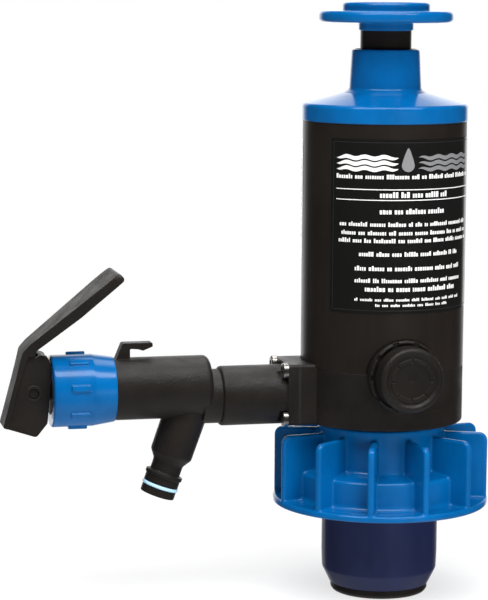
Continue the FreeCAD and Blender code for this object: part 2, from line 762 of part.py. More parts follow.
def make_tap_body():
    plug_start = tube_end - tap_plug_len
    ring_x = plug_start + 4.0
    groove = tap_plug_r + fit_gap - seal_gap - 2 * plug_ring_r - seal_gap
    plug = along_arm([(0, plug_start), (tap_plug_r, plug_start, 0.4), (tap_plug_r, ring_x - 1.3),
                      (groove, ring_x - 1.3), (groove, ring_x + 1.3), (tap_plug_r, ring_x + 1.3),
                      (tap_plug_r, tube_end + touch_gap), (tap_collar_r, tube_end + touch_gap),
                      (tap_collar_r, tap_start + 4), (0, tap_start + 4)], outlet_z)
    barrel = along_arm([(0, tap_start), (tap_r, tap_start, 3.0), (tap_r, tap_end), (0, tap_end)], tap_z)
    spout = along_spout([(0, 0), (spout_land_r, 0, 0.5), (spout_land_r, 3.8), (7.4, 3.8), (7.4, 5.6),
                         (8.4, 5.6), (8.4, 9.3), (9.0, 9.3, 0.3), (9.0, 11.2, 0.5), (7.3, 11.2, 0.8),
                         (7.3, 16.5, 3.0), (10.1, 20.5, 3.0), (10.4, spout_len - 5), (0, spout_len - 5)])
    top = tap_r + 7.2
    hook = slab([(0, tap_r - 2), (7.3, tap_r - 2), (7.3, top - 2.7, 0.6), (11.1, top - 3.0), (13.5, top - 3.7),
                 (18.1, top - 1.9, 0.5), (18.1, top, 0.7), (3.8, top, 1.2)], 3.0)
    hook.translate(V(0.6 - nut_start, 0, tap_z))
    body = barrel.fuse([plug, spout, hook])
    cuts = [along_arm(rod(6.5, plug_start - 1, seat_face - 2.5), outlet_z),
            along_arm(rod(seat_hole_r, seat_face - 4.5, seat_face + 1), tap_z),
            along_arm(rod(tap_bore_r, seat_face, tap_end + 1), tap_z),
            along_spout(rod(spout_bore_r, -1, spout_len - tap_bore_r - 1))]
    return body.cut(cuts)


def make_tap_inlet_oring():
    ring = o_ring(tap_plug_r + fit_gap - seal_gap - plug_ring_r, plug_ring_r, tube_end - tap_plug_len + 4.0)
    return laid(ring, V(0, 0, outlet_z), arm)


def make_spout_oring():
    return along_spout([(7.45, 3.9), (8.9, 3.9, 0.7), (8.9, 5.5, 0.7), (7.45, 5.5)])


def make_tap_bonnet():
    plug_r = tap_bore_r - fit_gap
    plug_face = tap_end - bonnet_plug
    groove = tap_bore_r - seal_gap - 2 * plug_ring_r - seal_gap
    bore = tap_stem_r + run_gap
    room = bore + 2 * stem_ring_r + seal_gap
    bonnet = along_arm([(bore, plug_face), (plug_r, plug_face), (plug_r, bonnet_ring_x - 1.3),
                        (groove, bonnet_ring_x - 1.3), (groove, bonnet_ring_x + 1.3),
                        (plug_r, bonnet_ring_x + 1.3), (plug_r, tap_end + touch_gap),
                        (tap_r - 0.2, tap_end + touch_gap), (tap_r - 0.2, bonnet_flange_end),
                        (bonnet_boss_r, bonnet_flange_end), (bonnet_boss_r, bonnet_face, 0.5),
                        (bore, bonnet_face)], tap_z)
    return bonnet.cut(along_arm(rod(room, stem_ring_x - 1.3, stem_ring_x + 1.3), tap_z))


def make_bonnet_oring():
    ring = o_ring(tap_bore_r - seal_gap - plug_ring_r, plug_ring_r, bonnet_ring_x)
    return laid(ring, V(0, 0, tap_z), arm)


def make_stem_oring():
    ring = o_ring(tap_stem_r + run_gap + stem_ring_r, stem_ring_r, stem_ring_x)
    return laid(ring, V(0, 0, tap_z), arm)


def make_tap_ring_nut():
    lip_r = bonnet_boss_r + free_gap
    nut = along_arm([(nut_bore_r, nut_start), (nut_bore_r + 0.6, nut_start), (nut_r, nut_full, 2.0),
                     (nut_r, nut_end, 1.0), (lip_r, nut_end, 0.4), (lip_r, bonnet_flange_end + touch_gap),
                     (nut_bore_r, bonnet_flange_end + touch_gap)], tap_z)
    lug = Part.makeBox(nut_lug + 2, 3.0, nut_lug_len, V(nut_r - 2, -1.5, nut_full + nut_lug_back))
    tops = [e for e in lug.Edges if e.BoundBox.XMin > nut_r]
    lug = lug.makeFillet(0.5, tops)
    lugs = [laid(copy, V(0, 0, tap_z), arm)
            for copy in ring_of(lug, nut_lug_count, nut_lug_first_deg - 90)]
    return nut.fuse(lugs).removeSplitter()


def make_tap_stem():
    flange_start = seat_face + 3.0
    stop_r = tap_bore_r - 4.0
    collar_r = tap_bore_r - 2.4
    bar = along_arm([(0, flange_start), (stop_r, flange_start), (stop_r, flange_start + 2.4),
                     (collar_r, flange_start + 2.4), (collar_r, flange_start + 4.4, 0.5),
                     (tap_stem_r, flange_start + 4.4), (tap_stem_r, pivot_x), (0, pivot_x)], tap_z)
    eye = Part.makeCylinder(eye_r, 2 * eye_half, V(-pivot_x, -eye_half, tap_z), V(0, 1, 0))
    tail = Part.makeBox(pivot_x - bonnet_face - 0.6, 2 * eye_half, 8.4,
                        V(-pivot_x, -eye_half, tap_z - 4.2))
    hole = Part.makeCylinder(pin_r + 0.03, 30, V(-pivot_x, -15, tap_z), V(0, 1, 0))
    return bar.fuse([eye, tail]).cut(hole)


def make_valve_seal():
    seal_r = tap_bore_r - 3.2
    return along_arm([(0, seat_face + touch_gap), (seal_r, seat_face + touch_gap, 0.5),
                      (seal_r, seat_face + 3.0, 0.3), (0, seat_face + 3.0)], tap_z)


def make_tap_spring():
    spring = coil(tap_bore_r - 3.8, 0.8, seat_face + 7.5, tap_end - bonnet_plug - touch_gap, 8)
    return laid(spring, V(0, 0, tap_z), arm)


def make_lever_pin():
    half = cheek_half - 0.5
    pin = Part.makeCylinder(pin_r, 2 * half, V(-pivot_x, -half, tap_z), V(0, 1, 0))
    return pin.makeFillet(0.4, pin.Edges)


def make_lever():
    cam = [(cam_flat, cam_z)]
    for degrees in (14, 26, 36):
        swing = math.radians(degrees)
        cam.append((cam_flat - cam_r + cam_r * math.cos(swing), cam_z + cam_r * math.sin(swing)))
    side = ([(-14.5, -15.5, 0.8), (1.1, -20.6, 2.0), (6.3, -14.15, 1.5), (7.4, -2.75)] + cam
            + [(3.4, 18.3, 0.8), (0.2, 16.25, 0.5), (1.2, 20.35, 0.8), (21.5, 35.6), (41.95, 53.3, 1.6),
               (39.15, 56.5, 1.6), (-1.9, 23.5, 6.0), (-5.2, 20.0, 4.0), (-8.8, 5.9)])
    blank = slab(side, lever_tip_half)
    width = [(-lever_half, -30), (lever_half, -30), (lever_half, 15, 20), (lever_tip_half, 50, 8),
             (lever_tip_half, 57.5, 5), (-lever_tip_half, 57.5, 5), (-lever_tip_half, 50, 8),
             (-lever_half, 15, 20)]
    plan = slab(width, 60)
    plan.rotate(V(0, 0, 0), V(0, 0, 1), 90)
    inside = [(-14.7, -25), (-6.8, 5.7), (-2.6, 17.8), (14, 17.8), (14, -25)]
    slot = slab(inside, lever_slot_half)
    beside = slab(inside, lever_tip_half).cut(slab(inside, cheek_half))
    ring = Part.makeCylinder(3.8, 2 * cheek_half + 0.6, V(0, -cheek_half - 0.3, 0), V(0, 1, 0))
    bore = Part.makeCylinder(pin_r + run_gap, 40, V(0, -20, 0), V(0, 1, 0))
    lever = blank.common(plan).cut(beside).fuse(ring).cut([slot, bore])
    lever.translate(V(-pivot_x, 0, tap_z))
    return lever


# ---------------------------------------------------------------- labels

def make_label(low, height, degrees):
    inner = barrel_r + label_lift
    return curved_plate(inner, inner + label_thick, (seam_z + low, seam_z + low + height), degrees)


def make_front_label():
    return make_label(front_label_low, front_label_height, front_label_deg)


def make_side_label():
    return make_label(side_label_low, side_label_height, side_label_deg)


pieces = {
    "neck_tube": make_neck_tube,
    "neck_oring": make_neck_oring,
    "neck_end_ring": make_neck_end_ring,
    "bung_sleeve": make_bung_sleeve,
    "slip_washer": make_slip_washer,
    "lock_ring": make_lock_ring,
    "base_body": make_base_body,
    "pump_barrel": make_pump_barrel,
    "barrel_oring": make_barrel_oring,
    "valve_plate": make_valve_plate,
    "plate_screws": make_plate_screws,
    "check_valve_cage": make_check_valve_cage,
    "check_valve_disc": make_check_valve_disc,
    "check_valve_spring": make_check_valve_spring,
    "top_cap": make_top_cap,
    "cap_oring": make_cap_oring,
    "rod_bush": make_rod_bush,
    "rod_wiper": make_rod_wiper,
    "rod_bumper": make_rod_bumper,
    "plunger_rod": make_plunger_rod,
    "piston": make_piston,
    "piston_seal": make_piston_seal,
    "piston_nut": make_piston_nut,
    "plunger_knob": make_plunger_knob,
    "knob_cap": make_knob_cap,
    "knob_screw": make_knob_screw,
    "relief_stem": make_relief_stem,
    "relief_seal": make_relief_seal,
    "relief_oring": make_relief_oring,
    "relief_knob": make_relief_knob,
    "flange_gasket": make_flange_gasket,
    "outlet_tube": make_outlet_tube,
    "flange_screws": make_flange_screws,
    "tap_body": make_tap_body,
    "tap_inlet_oring": make_tap_inlet_oring,
    "spout_oring": make_spout_oring,
    "tap_bonnet": make_tap_bonnet,
    "bonnet_oring": make_bonnet_oring,
    "stem_oring": make_stem_oring,
    "tap_ring_nut": make_tap_ring_nut,
    "tap_stem": make_tap_stem,
    "valve_seal": make_valve_seal,
    "tap_spring": make_tap_spring,
    "lever_pin": make_lever_pin,
    "lever": make_lever,
    "front_label": make_front_label,
    "side_label": make_side_label,
}

for name, make in pieces.items():
    save(name, make())
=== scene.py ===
import math
import random

import bmesh
import bpy
from mathutils import Matrix, Vector


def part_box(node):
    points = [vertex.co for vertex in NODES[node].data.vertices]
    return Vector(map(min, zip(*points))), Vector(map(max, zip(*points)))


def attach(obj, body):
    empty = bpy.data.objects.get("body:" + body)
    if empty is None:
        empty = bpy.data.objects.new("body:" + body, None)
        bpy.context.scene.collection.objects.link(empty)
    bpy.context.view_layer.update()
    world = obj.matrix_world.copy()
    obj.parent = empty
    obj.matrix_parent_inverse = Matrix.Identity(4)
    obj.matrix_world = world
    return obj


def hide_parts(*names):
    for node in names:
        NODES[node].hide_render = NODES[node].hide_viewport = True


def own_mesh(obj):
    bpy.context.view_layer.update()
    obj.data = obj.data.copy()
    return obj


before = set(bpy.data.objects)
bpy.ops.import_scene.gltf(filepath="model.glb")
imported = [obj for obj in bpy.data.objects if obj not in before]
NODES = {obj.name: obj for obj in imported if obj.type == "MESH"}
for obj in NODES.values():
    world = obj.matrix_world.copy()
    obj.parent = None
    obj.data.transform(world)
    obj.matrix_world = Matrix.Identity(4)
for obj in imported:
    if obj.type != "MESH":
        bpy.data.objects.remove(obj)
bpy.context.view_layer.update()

bl_info = {
    "name": "Drum Pump Finisher",
    "version": (1, 0, 0),
    "blender": (4, 5, 0),
    "location": "3D View > Sidebar > Pump",
    "description": "Finishes, printed labels, springs and soft seal of a hand-pressurised drum pump",
    "category": "Object",
}

MM = 0.001
DISC_LIFT = 1.5 * MM          # how far the check valve's disc drops
STEM_TRAVEL = 5.66 * MM       # how far the tap's stem slides
FILM_DEG = (122.7, 53.0)      # how far the front and side labels reach round the barrel


def span(node):
    """Lowest and highest corner of a CAD node, as vectors."""
    low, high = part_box(node)
    return Vector(low), Vector(high)


# ------------------------------------------------------------------ settings

def colour_prop(name, description, default):
    """A colour that a user may change."""
    return bpy.props.FloatVectorProperty(
        name=name, description=description, default=default, size=3, subtype="COLOR", min=0.0, max=1.0)


def length_prop(name, description, default):
    """A length that a user may change."""
    return bpy.props.FloatProperty(name=name, description=description, default=default, min=0.0, unit="LENGTH")


def share_prop(name, description, default):
    """A share from 0 to 1 that a user may change."""
    return bpy.props.FloatProperty(
        name=name, description=description, default=default, min=0.0, max=1.0, subtype="FACTOR")


class StudioSettings(bpy.types.PropertyGroup):
    """Camera and light of the product shot."""
    lens: bpy.props.FloatProperty(
        name="Lens", description="Focal length", default=139.84, min=20.0, unit="CAMERA")
    eye: bpy.props.FloatVectorProperty(
        name="Camera place", description="Where the camera stands", size=3, subtype="TRANSLATION",
        unit="LENGTH", default=(-0.3143, -1.0661, 0.2925))
    turn: bpy.props.FloatProperty(
        name="Turn", description="Camera heading, clockwise from straight ahead", subtype="ANGLE",
        default=math.radians(13.0))
    dip: bpy.props.FloatProperty(
        name="Dip", description="Camera tilt below level", subtype="ANGLE", default=math.radians(7.75))
    roll: bpy.props.FloatProperty(
        name="Roll", description="Camera roll", subtype="ANGLE", default=math.radians(0.34))
    floor_size: length_prop("Floor", "Width of the floor", 30.0)
    floor_colour: colour_prop("Floor colour", "Pale studio floor", (0.95, 0.95, 0.95))
    wall: bpy.props.FloatProperty(
        name="Wall", description="Brightness of the white wall behind the pump", default=1.7, min=0.0)
    room: share_prop("Room", "Brightness of the rest of the room", 0.03)
    ceiling: bpy.props.FloatProperty(
        name="Overhead", description="Brightness of the white panel overhead", default=2.8, min=0.0)
    ground: share_prop("Ground", "Brightness of the floor in reflections", 0.40)
    softbox: bpy.props.FloatProperty(
        name="Softbox", description="Power of the overhead softbox", default=24.0, min=0.0, unit="POWER")
    strip: bpy.props.FloatProperty(
        name="Strip", description="Power of the strip light that draws highlights", default=9.0, min=0.0,
        unit="POWER")
    fill: bpy.props.FloatProperty(
        name="Fill", description="Power of the low front light", default=2.2, min=0.0, unit="POWER")


class FinishSettings(bpy.types.PropertyGroup):
    """Colours and surface of each finish."""
    black: colour_prop("Moulded black", "Glass-filled black nylon", (0.0092, 0.0074, 0.0062))
    barrel: colour_prop("Barrel black", "Drawn satin tube", (0.0108, 0.0084, 0.0070))
    blue: colour_prop("Blue", "Moulded blue plastic", (0.0005, 0.094, 0.290))
    navy: colour_prop("Navy", "Elastomer of the bung sleeve", (0.0095, 0.0150, 0.060))
    seal: colour_prop("Seal black", "Black seal rubber", (0.012, 0.012, 0.012))
    pale_seal: colour_prop("Seal blue", "Light blue seal rubber", (0.42, 0.68, 0.88))
    steel: colour_prop("Steel", "Stainless steel", (0.62, 0.60, 0.57))
    bearing: colour_prop("Bearing", "Natural nylon", (0.78, 0.76, 0.71))
    film: colour_prop("Film", "Black label film", (0.0062, 0.0060, 0.0058))
    white_film: colour_prop("White film", "White label film", (0.84, 0.84, 0.83))
    ink: colour_prop("Ink", "White print", (0.80, 0.80, 0.79))
    grey_ink: colour_prop("Grey ink", "Grey print", (0.20, 0.20, 0.205))
    grain: length_prop("Grain", "Size of the spark-eroded grain on moulded black", 0.35 * MM)
    worn_edge: length_prop("Edge wear", "Width of the rubbed edges", 0.45 * MM)


class SleeveSettings(bpy.types.PropertyGroup):
    """The expanding bung sleeve."""
    crown: length_prop("Crown", "How much the sleeve's ends draw in", 0.30 * MM)
    foot_z: length_prop("Foot", "Height where the sleeve starts to taper", 11.9 * MM)
    soft_edge: length_prop("Soft edge", "Rounding of the moulded edges", 0.5 * MM)
    seam: length_prop("Seam", "Height of the moulding seam", 0.12 * MM)


class PrintSettings(bpy.types.PropertyGroup):
    """The print on the two labels."""
    ink_thick: length_prop("Ink", "Thickness of the printed layer", 0.03 * MM)
    word_gap: length_prop("Word gap", "Space between dummy words", 1.1 * MM)
    seed: bpy.props.IntProperty(name="Seed", description="Changes the dummy words", default=7)


# ------------------------------------------------------------------ meshes

def place(obj):
    """Put a new object into the scene."""
    bpy.context.scene.collection.objects.link(obj)
    return obj


def mesh_object(name, bm, material, smooth_deg=35.0):
    """Turn a finished bmesh into an object with one material and soft shading."""
    mesh = bpy.data.meshes.new(name)
    bm.to_mesh(mesh)
    bm.free()
    mesh.materials.append(material)
    mesh.shade_smooth()
    mesh.set_sharp_from_angle(angle=math.radians(smooth_deg))
    return place(bpy.data.objects.new(name, mesh))


def lathe(profile, steps):
    """Closed profile of (radius, height) points spun into a closed ring about Z."""
    bm = bmesh.new()
    verts = [bm.verts.new((radius, 0, height)) for radius, height in profile]
    edges = [bm.edges.new((verts[i - 1], verts[i])) for i in range(len(verts))]
    bmesh.ops.spin(bm, geom=verts + edges, cent=(0, 0, 0), axis=(0, 0, 1), dvec=(0, 0, 0),
                   angle=math.tau, steps=steps, use_merge=True)
    bmesh.ops.recalc_face_normals(bm, faces=bm.faces)
    return bm


# ------------------------------------------------------------------ finishes

class Paint:
    """A material under construction: short calls that add and wire its nodes."""

    def __init__(self, name):
        self.material = bpy.data.materials.new(name)
        self.material.use_nodes = True
        self.tree = self.material.node_tree
        self.shader = self.tree.nodes["Principled BSDF"]
        self.where = self.tree.nodes.new("ShaderNodeTexCoord").outputs["Object"]

    def node(self, kind, **settings):
        made = self.tree.nodes.new(kind)
        for key, value in settings.items():
            setattr(made, key, value)
        return made

    def wire(self, source, target):
        self.tree.links.new(source, target)

    def stretched(self, scale):
        """Coordinates scaled per axis, for streaks."""
        mapping = self.node("ShaderNodeMapping")
        mapping.inputs["Scale"].default_value = scale
        self.wire(self.where, mapping.inputs["Vector"])
        return mapping.outputs["Vector"]

    def noise(self, size, detail=3.0, rough=0.55, where=None):
        """Noise whose lumps are about size metres wide."""
        made = self.node("ShaderNodeTexNoise")
        made.inputs["Scale"].default_value = 1.0 / size
        made.inputs["Detail"].default_value = detail
        made.inputs["Roughness"].default_value = rough
        self.wire(where or self.where, made.inputs["Vector"])
        return made.outputs["Fac"]

    def ranged(self, value, low, high, new_low, new_high):
        """Value mapped from one range to another, clamped."""
        made = self.node("ShaderNodeMapRange")
        self.wire(value, made.inputs["Value"])
        for key, number in (("From Min", low), ("From Max", high), ("To Min", new_low), ("To Max", new_high)):
            made.inputs[key].default_value = number
        return made.outputs["Result"]

    def sums(self, how, a, b):
        """Arithmetic on two values, the second may be a number."""
        made = self.node("ShaderNodeMath", operation=how)
        self.wire(a, made.inputs[0])
        if isinstance(b, (int, float)):
            made.inputs[1].default_value = b
        else:
            self.wire(b, made.inputs[1])
        return made.outputs["Value"]

    def blend(self, share, a, b):
        """Colour between a and b; each is a colour or a socket."""
        made = self.node("ShaderNodeMix", data_type="RGBA")
        self.wire(share, made.inputs["Factor"])
        for socket, colour in ((made.inputs["A"], a), (made.inputs["B"], b)):
            if isinstance(colour, bpy.types.NodeSocket):
                self.wire(colour, socket)
            else:
                socket.default_value = (*colour, 1.0)
        return made.outputs["Result"]

    def bump(self, height, depth, over=None):
        """Bump of a height field, depth in metres, on top of another normal."""
        made = self.node("ShaderNodeBump")
        made.inputs["Strength"].default_value = 1.0
        made.inputs["Distance"].default_value = depth
        self.wire(height, made.inputs["Height"])
        if over:
            self.wire(over, made.inputs["Normal"])
        return made.outputs["Normal"]

    def edges(self, radius):
        """1 on rubbed outer and inner edges, 0 on flat ground, and the eased normal."""
        eased = self.node("ShaderNodeBevel", samples=4)
        eased.inputs["Radius"].default_value = radius
        ground = self.node("ShaderNodeNewGeometry")
        dot = self.node("ShaderNodeVectorMath", operation="DOT_PRODUCT")
        self.wire(eased.outputs["Normal"], dot.inputs[0])
        self.wire(ground.outputs["Normal"], dot.inputs[1])
        return self.ranged(dot.outputs["Value"], 0.99, 0.80, 0.0, 1.0), eased.outputs["Normal"]

    def set(self, **sockets):
        """Constants and links on the shader's own sockets."""
        for key, value in sockets.items():
            socket = self.shader.inputs[key.replace("_", " ")]
            if isinstance(value, bpy.types.NodeSocket):
                self.wire(value, socket)
            elif socket.type == "RGBA":
                socket.default_value = (*value, 1.0)
            else:
                socket.default_value = value
        return self.material


def tinted(colour, factor):
    """A colour made lighter or darker."""
    return tuple(min(1.0, part * factor) for part in colour)


def moulded_black(name, colour, s):
    """Glass-filled nylon: spark-eroded grain, uneven tone, rubbed edges a little greyer."""
    p = Paint(name)
    tone = p.ranged(p.noise(22 * MM), 0.3, 0.7, 0.0, 1.0)
    fleck = p.ranged(p.noise(0.5 * MM, 2.0), 0.55, 0.8, 0.0, 0.35)
    body = p.blend(tone, tinted(colour, 0.75), tinted(colour, 1.35))
    body = p.blend(fleck, body, tinted(colour, 2.6))
    worn, eased = p.edges(s.worn_edge)
    worn = p.sums("MULTIPLY", worn, p.ranged(p.noise(3 * MM), 0.35, 0.65, 0.15, 0.75))
    body = p.blend(worn, body, tinted(colour, 5.0))
    grain = p.noise(s.grain, 2.0, 0.5)
    normal = p.bump(grain, 0.035 * MM, p.bump(p.noise(1.4 * MM, 4.0, 0.6), 0.17 * MM, eased))
    gloss = p.ranged(p.noise(9 * MM), 0.3, 0.7, 0.40, 0.54)
    return p.set(Base_Color=body, Roughness=gloss, Normal=normal, IOR=1.52)


def drawn_barrel(name, colour, s):
    """Satin tube: fine lines along its length, faint handling marks round it."""
    p = Paint(name)
    lines = p.noise(0.5 * MM, 3.0, 0.6, p.stretched((1.0, 1.0, 0.012)))
    rings = p.noise(0.7 * MM, 2.0, 0.5, p.stretched((0.03, 0.03, 1.0)))
    tone = p.ranged(p.noise(35 * MM), 0.3, 0.7, 0.0, 1.0)
    body = p.blend(tone, tinted(colour, 0.8), tinted(colour, 1.3))
    body = p.blend(p.ranged(lines, 0.5, 0.75, 0.0, 0.5), body, tinted(colour, 1.8))
    worn, eased = p.edges(s.worn_edge)
    body = p.blend(p.sums("MULTIPLY", worn, 0.5), body, tinted(colour, 4.0))
    normal = p.bump(rings, 0.006 * MM, p.bump(lines, 0.010 * MM, eased))
    gloss = p.ranged(lines, 0.3, 0.7, 0.30, 0.40)
    return p.set(Base_Color=body, Roughness=gloss, Normal=normal, IOR=1.50)


def moulded_blue(name, colour, s):
    """Glossy moulded plastic: faint flow clouds, fine orange peel, pale rubbed edges."""
    p = Paint(name)
    flow = p.ranged(p.noise(16 * MM, 4.0, 0.6, p.stretched((1.0, 1.0, 0.5))), 0.3, 0.7, 0.0, 1.0)
    body = p.blend(flow, tinted(colour, 0.86), tinted(colour, 1.16))
    worn, eased = p.edges(0.9 * MM)
    worn = p.sums("MULTIPLY", worn, p.ranged(p.noise(2.5 * MM), 0.35, 0.65, 0.2, 0.6))
    body = p.blend(worn, body, (0.030, 0.20, 0.44))
    peel = p.noise(1.3 * MM, 2.0, 0.5)
    normal = p.bump(peel, 0.010 * MM, eased)
    gloss = p.ranged(p.noise(6 * MM, 4.0), 0.3, 0.7, 0.13, 0.19)
    return p.set(Base_Color=body, Roughness=gloss, Normal=normal, IOR=1.50)


def soft_rubber(name, colour, s, gloss=(0.42, 0.56), bloom=(0.05, 0.055, 0.085)):
    """Elastomer: dusty bloom on its edges, soft smears, dull skin."""
    p = Paint(name)
    smear = p.ranged(p.noise(8 * MM, 4.0, 0.6, p.stretched((1.0, 1.0, 0.35))), 0.3, 0.7, 0.0, 1.0)
    body = p.blend(smear, tinted(colour, 0.92), tinted(colour, 1.12))
    worn, eased = p.edges(0.8 * MM)
    body = p.blend(p.sums("MULTIPLY", worn, 0.6), body, bloom)
    normal = p.bump(p.noise(0.6 * MM, 2.0), 0.008 * MM, eased)
    return p.set(Base_Color=body, Roughness=p.ranged(smear, 0.0, 1.0, *gloss), Normal=normal, IOR=1.50)


def turned_steel(name, colour):
    """Stainless steel with a fine turned grain."""
    p = Paint(name)
    grain = p.noise(0.25 * MM, 3.0, 0.6, p.stretched((0.2, 1.0, 1.0)))
    body = p.blend(p.ranged(grain, 0.3, 0.7, 0.0, 1.0), tinted(colour, 0.82), tinted(colour, 1.1))
    normal = p.bump(grain, 0.004 * MM)
    return p.set(Base_Color=body, Metallic=1.0, Roughness=p.ranged(grain, 0.3, 0.7, 0.22, 0.36), Normal=normal)


def bearing_nylon(name, colour, s):
    """Natural nylon: waxy and faintly mottled."""
    p = Paint(name)
    mottle = p.ranged(p.noise(5 * MM, 4.0), 0.3, 0.7, 0.0, 1.0)
    body = p.blend(mottle, tinted(colour, 0.92), tinted(colour, 1.06))
    normal = p.bump(p.noise(0.8 * MM, 2.0), 0.008 * MM, p.edges(s.worn_edge)[1])
    return p.set(Base_Color=body, Roughness=p.ranged(mottle, 0.0, 1.0, 0.34, 0.46), Normal=normal)


def label_film(name, colour, gloss):
    """Glossy film: slight waves where it was smoothed down, fine scuffs."""
    p = Paint(name)
    scuff = p.noise(0.5 * MM, 3.0, 0.6, p.stretched((0.25, 0.25, 1.0)))
    body = p.blend(p.ranged(scuff, 0.4, 0.8, 0.0, 0.6), colour, tinted(colour, 1.5))
    normal = p.bump(scuff, 0.003 * MM, p.bump(p.noise(14 * MM, 1.0), 0.10 * MM))
    return p.set(Base_Color=body, Roughness=p.ranged(scuff, 0.3, 0.8, gloss, gloss + 0.10), Normal=normal,
                 IOR=1.50)


def printed_ink(name, colour):
    """Screen print: a slightly uneven, satin layer."""
    p = Paint(name)
    dots = p.noise(0.3 * MM, 2.0)
    body = p.blend(p.ranged(dots, 0.3, 0.7, 0.0, 1.0), tinted(colour, 0.88), tinted(colour, 1.05))
    return p.set(Base_Color=body, Roughness=p.ranged(dots, 0.3, 0.7, 0.34, 0.46),
                 Normal=p.bump(dots, 0.004 * MM))


def wear(material, *names):
    """Give CAD nodes a finish in place of their plain colour."""
    for name in names:
        for held in NODES[name].material_slots:
            held.material = material


class PUMP_OT_black_mouldings(bpy.types.Operator):
    """Finish the moulded black pieces: base, arm, tap, lever, neck, knob and inner mouldings"""
    bl_idname = "pump.black_mouldings"
    bl_label = "Black mouldings"

    def execute(self, context):
        s = context.scene.pump_finish
        black = moulded_black("moulded_black", s.black, s)
        wear(black, "base_body", "outlet_tube", "tap_body", "tap_bonnet", "tap_stem", "lever", "lever_pin",
             "neck_tube", "neck_end_ring", "relief_knob", "valve_plate", "check_valve_cage", "piston")
        return {"FINISHED"}


class PUMP_OT_barrel(bpy.types.Operator):
    """Finish the drawn barrel and the plunger rod"""
    bl_idname = "pump.barrel"
    bl_label = "Barrel and rod"

    def execute(self, context):
        s = context.scene.pump_finish
        wear(drawn_barrel("drawn_barrel", s.barrel, s), "pump_barrel")
        wear(drawn_barrel("drawn_rod", tinted(s.barrel, 0.8), s), "plunger_rod")
        return {"FINISHED"}


class PUMP_OT_blue_mouldings(bpy.types.Operator):
    """Finish the blue pieces: cap, plunger knob, lock ring and tap nut"""
    bl_idname = "pump.blue_mouldings"
    bl_label = "Blue mouldings"

    def execute(self, context):
        s = context.scene.pump_finish
        blue = moulded_blue("moulded_blue", s.blue, s)
        wear(blue, "top_cap", "plunger_knob", "knob_cap", "lock_ring", "tap_ring_nut")
        return {"FINISHED"}


class PUMP_OT_seals(bpy.types.Operator):
    """Finish the O-rings, gasket, wiper, bumper and valve seals"""
    bl_idname = "pump.seals"
    bl_label = "Seals"

    def execute(self, context):
        s = context.scene.pump_finish
        wear(soft_rubber("seal_rubber", s.seal, s, bloom=(0.04, 0.04, 0.04)),
             "neck_oring", "barrel_oring", "cap_oring", "relief_oring", "relief_seal", "tap_inlet_oring",
             "bonnet_oring", "stem_oring", "valve_seal", "check_valve_disc", "piston_seal", "rod_wiper",
             "rod_bumper", "flange_gasket")
        wear(soft_rubber("pale_seal_rubber", s.pale_seal, s, (0.30, 0.42), (0.55, 0.75, 0.90)), "spout_oring")
        return {"FINISHED"}


class PUMP_OT_hardware(bpy.types.Operator):
    """Finish the screws, nut and relief stem in steel, and the bearings in nylon"""
    bl_idname = "pump.hardware"
    bl_label = "Screws and bearings"

    def execute(self, context):
        s = context.scene.pump_finish
        wear(turned_steel("turned_steel", s.steel), "plate_screws", "flange_screws", "knob_screw",
             "piston_nut", "relief_stem")
        wear(bearing_nylon("bearing_nylon", s.bearing, s), "rod_bush", "slip_washer")
        return {"FINISHED"}


# ------------------------------------------------------------------ springs

def coil(radius, wire, length, turns):
    """Round wire wound about Z, from z = 0 up to its length."""
    bm = bmesh.new()
    stand = Matrix.Translation((radius, 0, wire)) @ Matrix.Rotation(math.pi / 2, 4, "X")
    section = bmesh.ops.create_circle(bm, segments=10, radius=wire, matrix=stand)["verts"]
    steps = turns * 36
    bmesh.ops.spin(bm, geom=section + bm.edges[:], cent=(0, 0, 0), axis=(0, 0, 1), angle=math.tau * turns,
                   dvec=(0, 0, (length - 2 * wire) / steps), steps=steps, use_merge=False)
    bmesh.ops.holes_fill(bm, edges=[e for e in bm.edges if e.is_boundary], sides=0)
    bmesh.ops.recalc_face_normals(bm, faces=bm.faces)
    return bm


class PUMP_OT_springs(bpy.types.Operator):
    """Make the check valve's spring and the tap's return spring"""
    bl_idname = "pump.springs"
    bl_label = "Springs"

    def execute(self, context):
        steel = turned_steel("spring_steel", context.scene.pump_finish.steel)
        low, high = span("check_valve_spring")
        bm = coil((high.y - low.y) / 2 - 0.4 * MM, 0.4 * MM, high.z - low.z, 4)
        bmesh.ops.translate(bm, vec=(0, 0, low.z), verts=bm.verts)
        self.fit("check_valve_spring", bm, steel, "check_valve_lift", (0, 0, 1), (0, 0, low.z),
                 DISC_LIFT / (high.z - low.z))
        low, high = span("tap_spring")
        middle = (low.z + high.z) / 2
        bm = coil((high.y - low.y) / 2 - 0.8 * MM, 0.8 * MM, high.x - low.x, 8)
        bmesh.ops.rotate(bm, cent=(0, 0, 0), matrix=Matrix.Rotation(-math.pi / 2, 3, "Y"), verts=bm.verts)
        bmesh.ops.translate(bm, vec=(high.x, 0, middle), verts=bm.verts)
        self.fit("tap_spring", bm, steel, "tap_stem_slide", (1, 0, 0), (low.x, 0, middle),
                 STEM_TRAVEL / (high.x - low.x))
        return {"FINISHED"}

    def fit(self, node, bm, steel, joint, axis, fixed_end, travel):
        """Put a spring in its node's place; the joint, axis, fixed end and travel by which it would shorten are
        not used.
        """
        spring = mesh_object(node + "_coil", bm, steel)
        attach(spring, "pump_base")
        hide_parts(node)
        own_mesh(spring)


# ------------------------------------------------------------------ bung sleeve

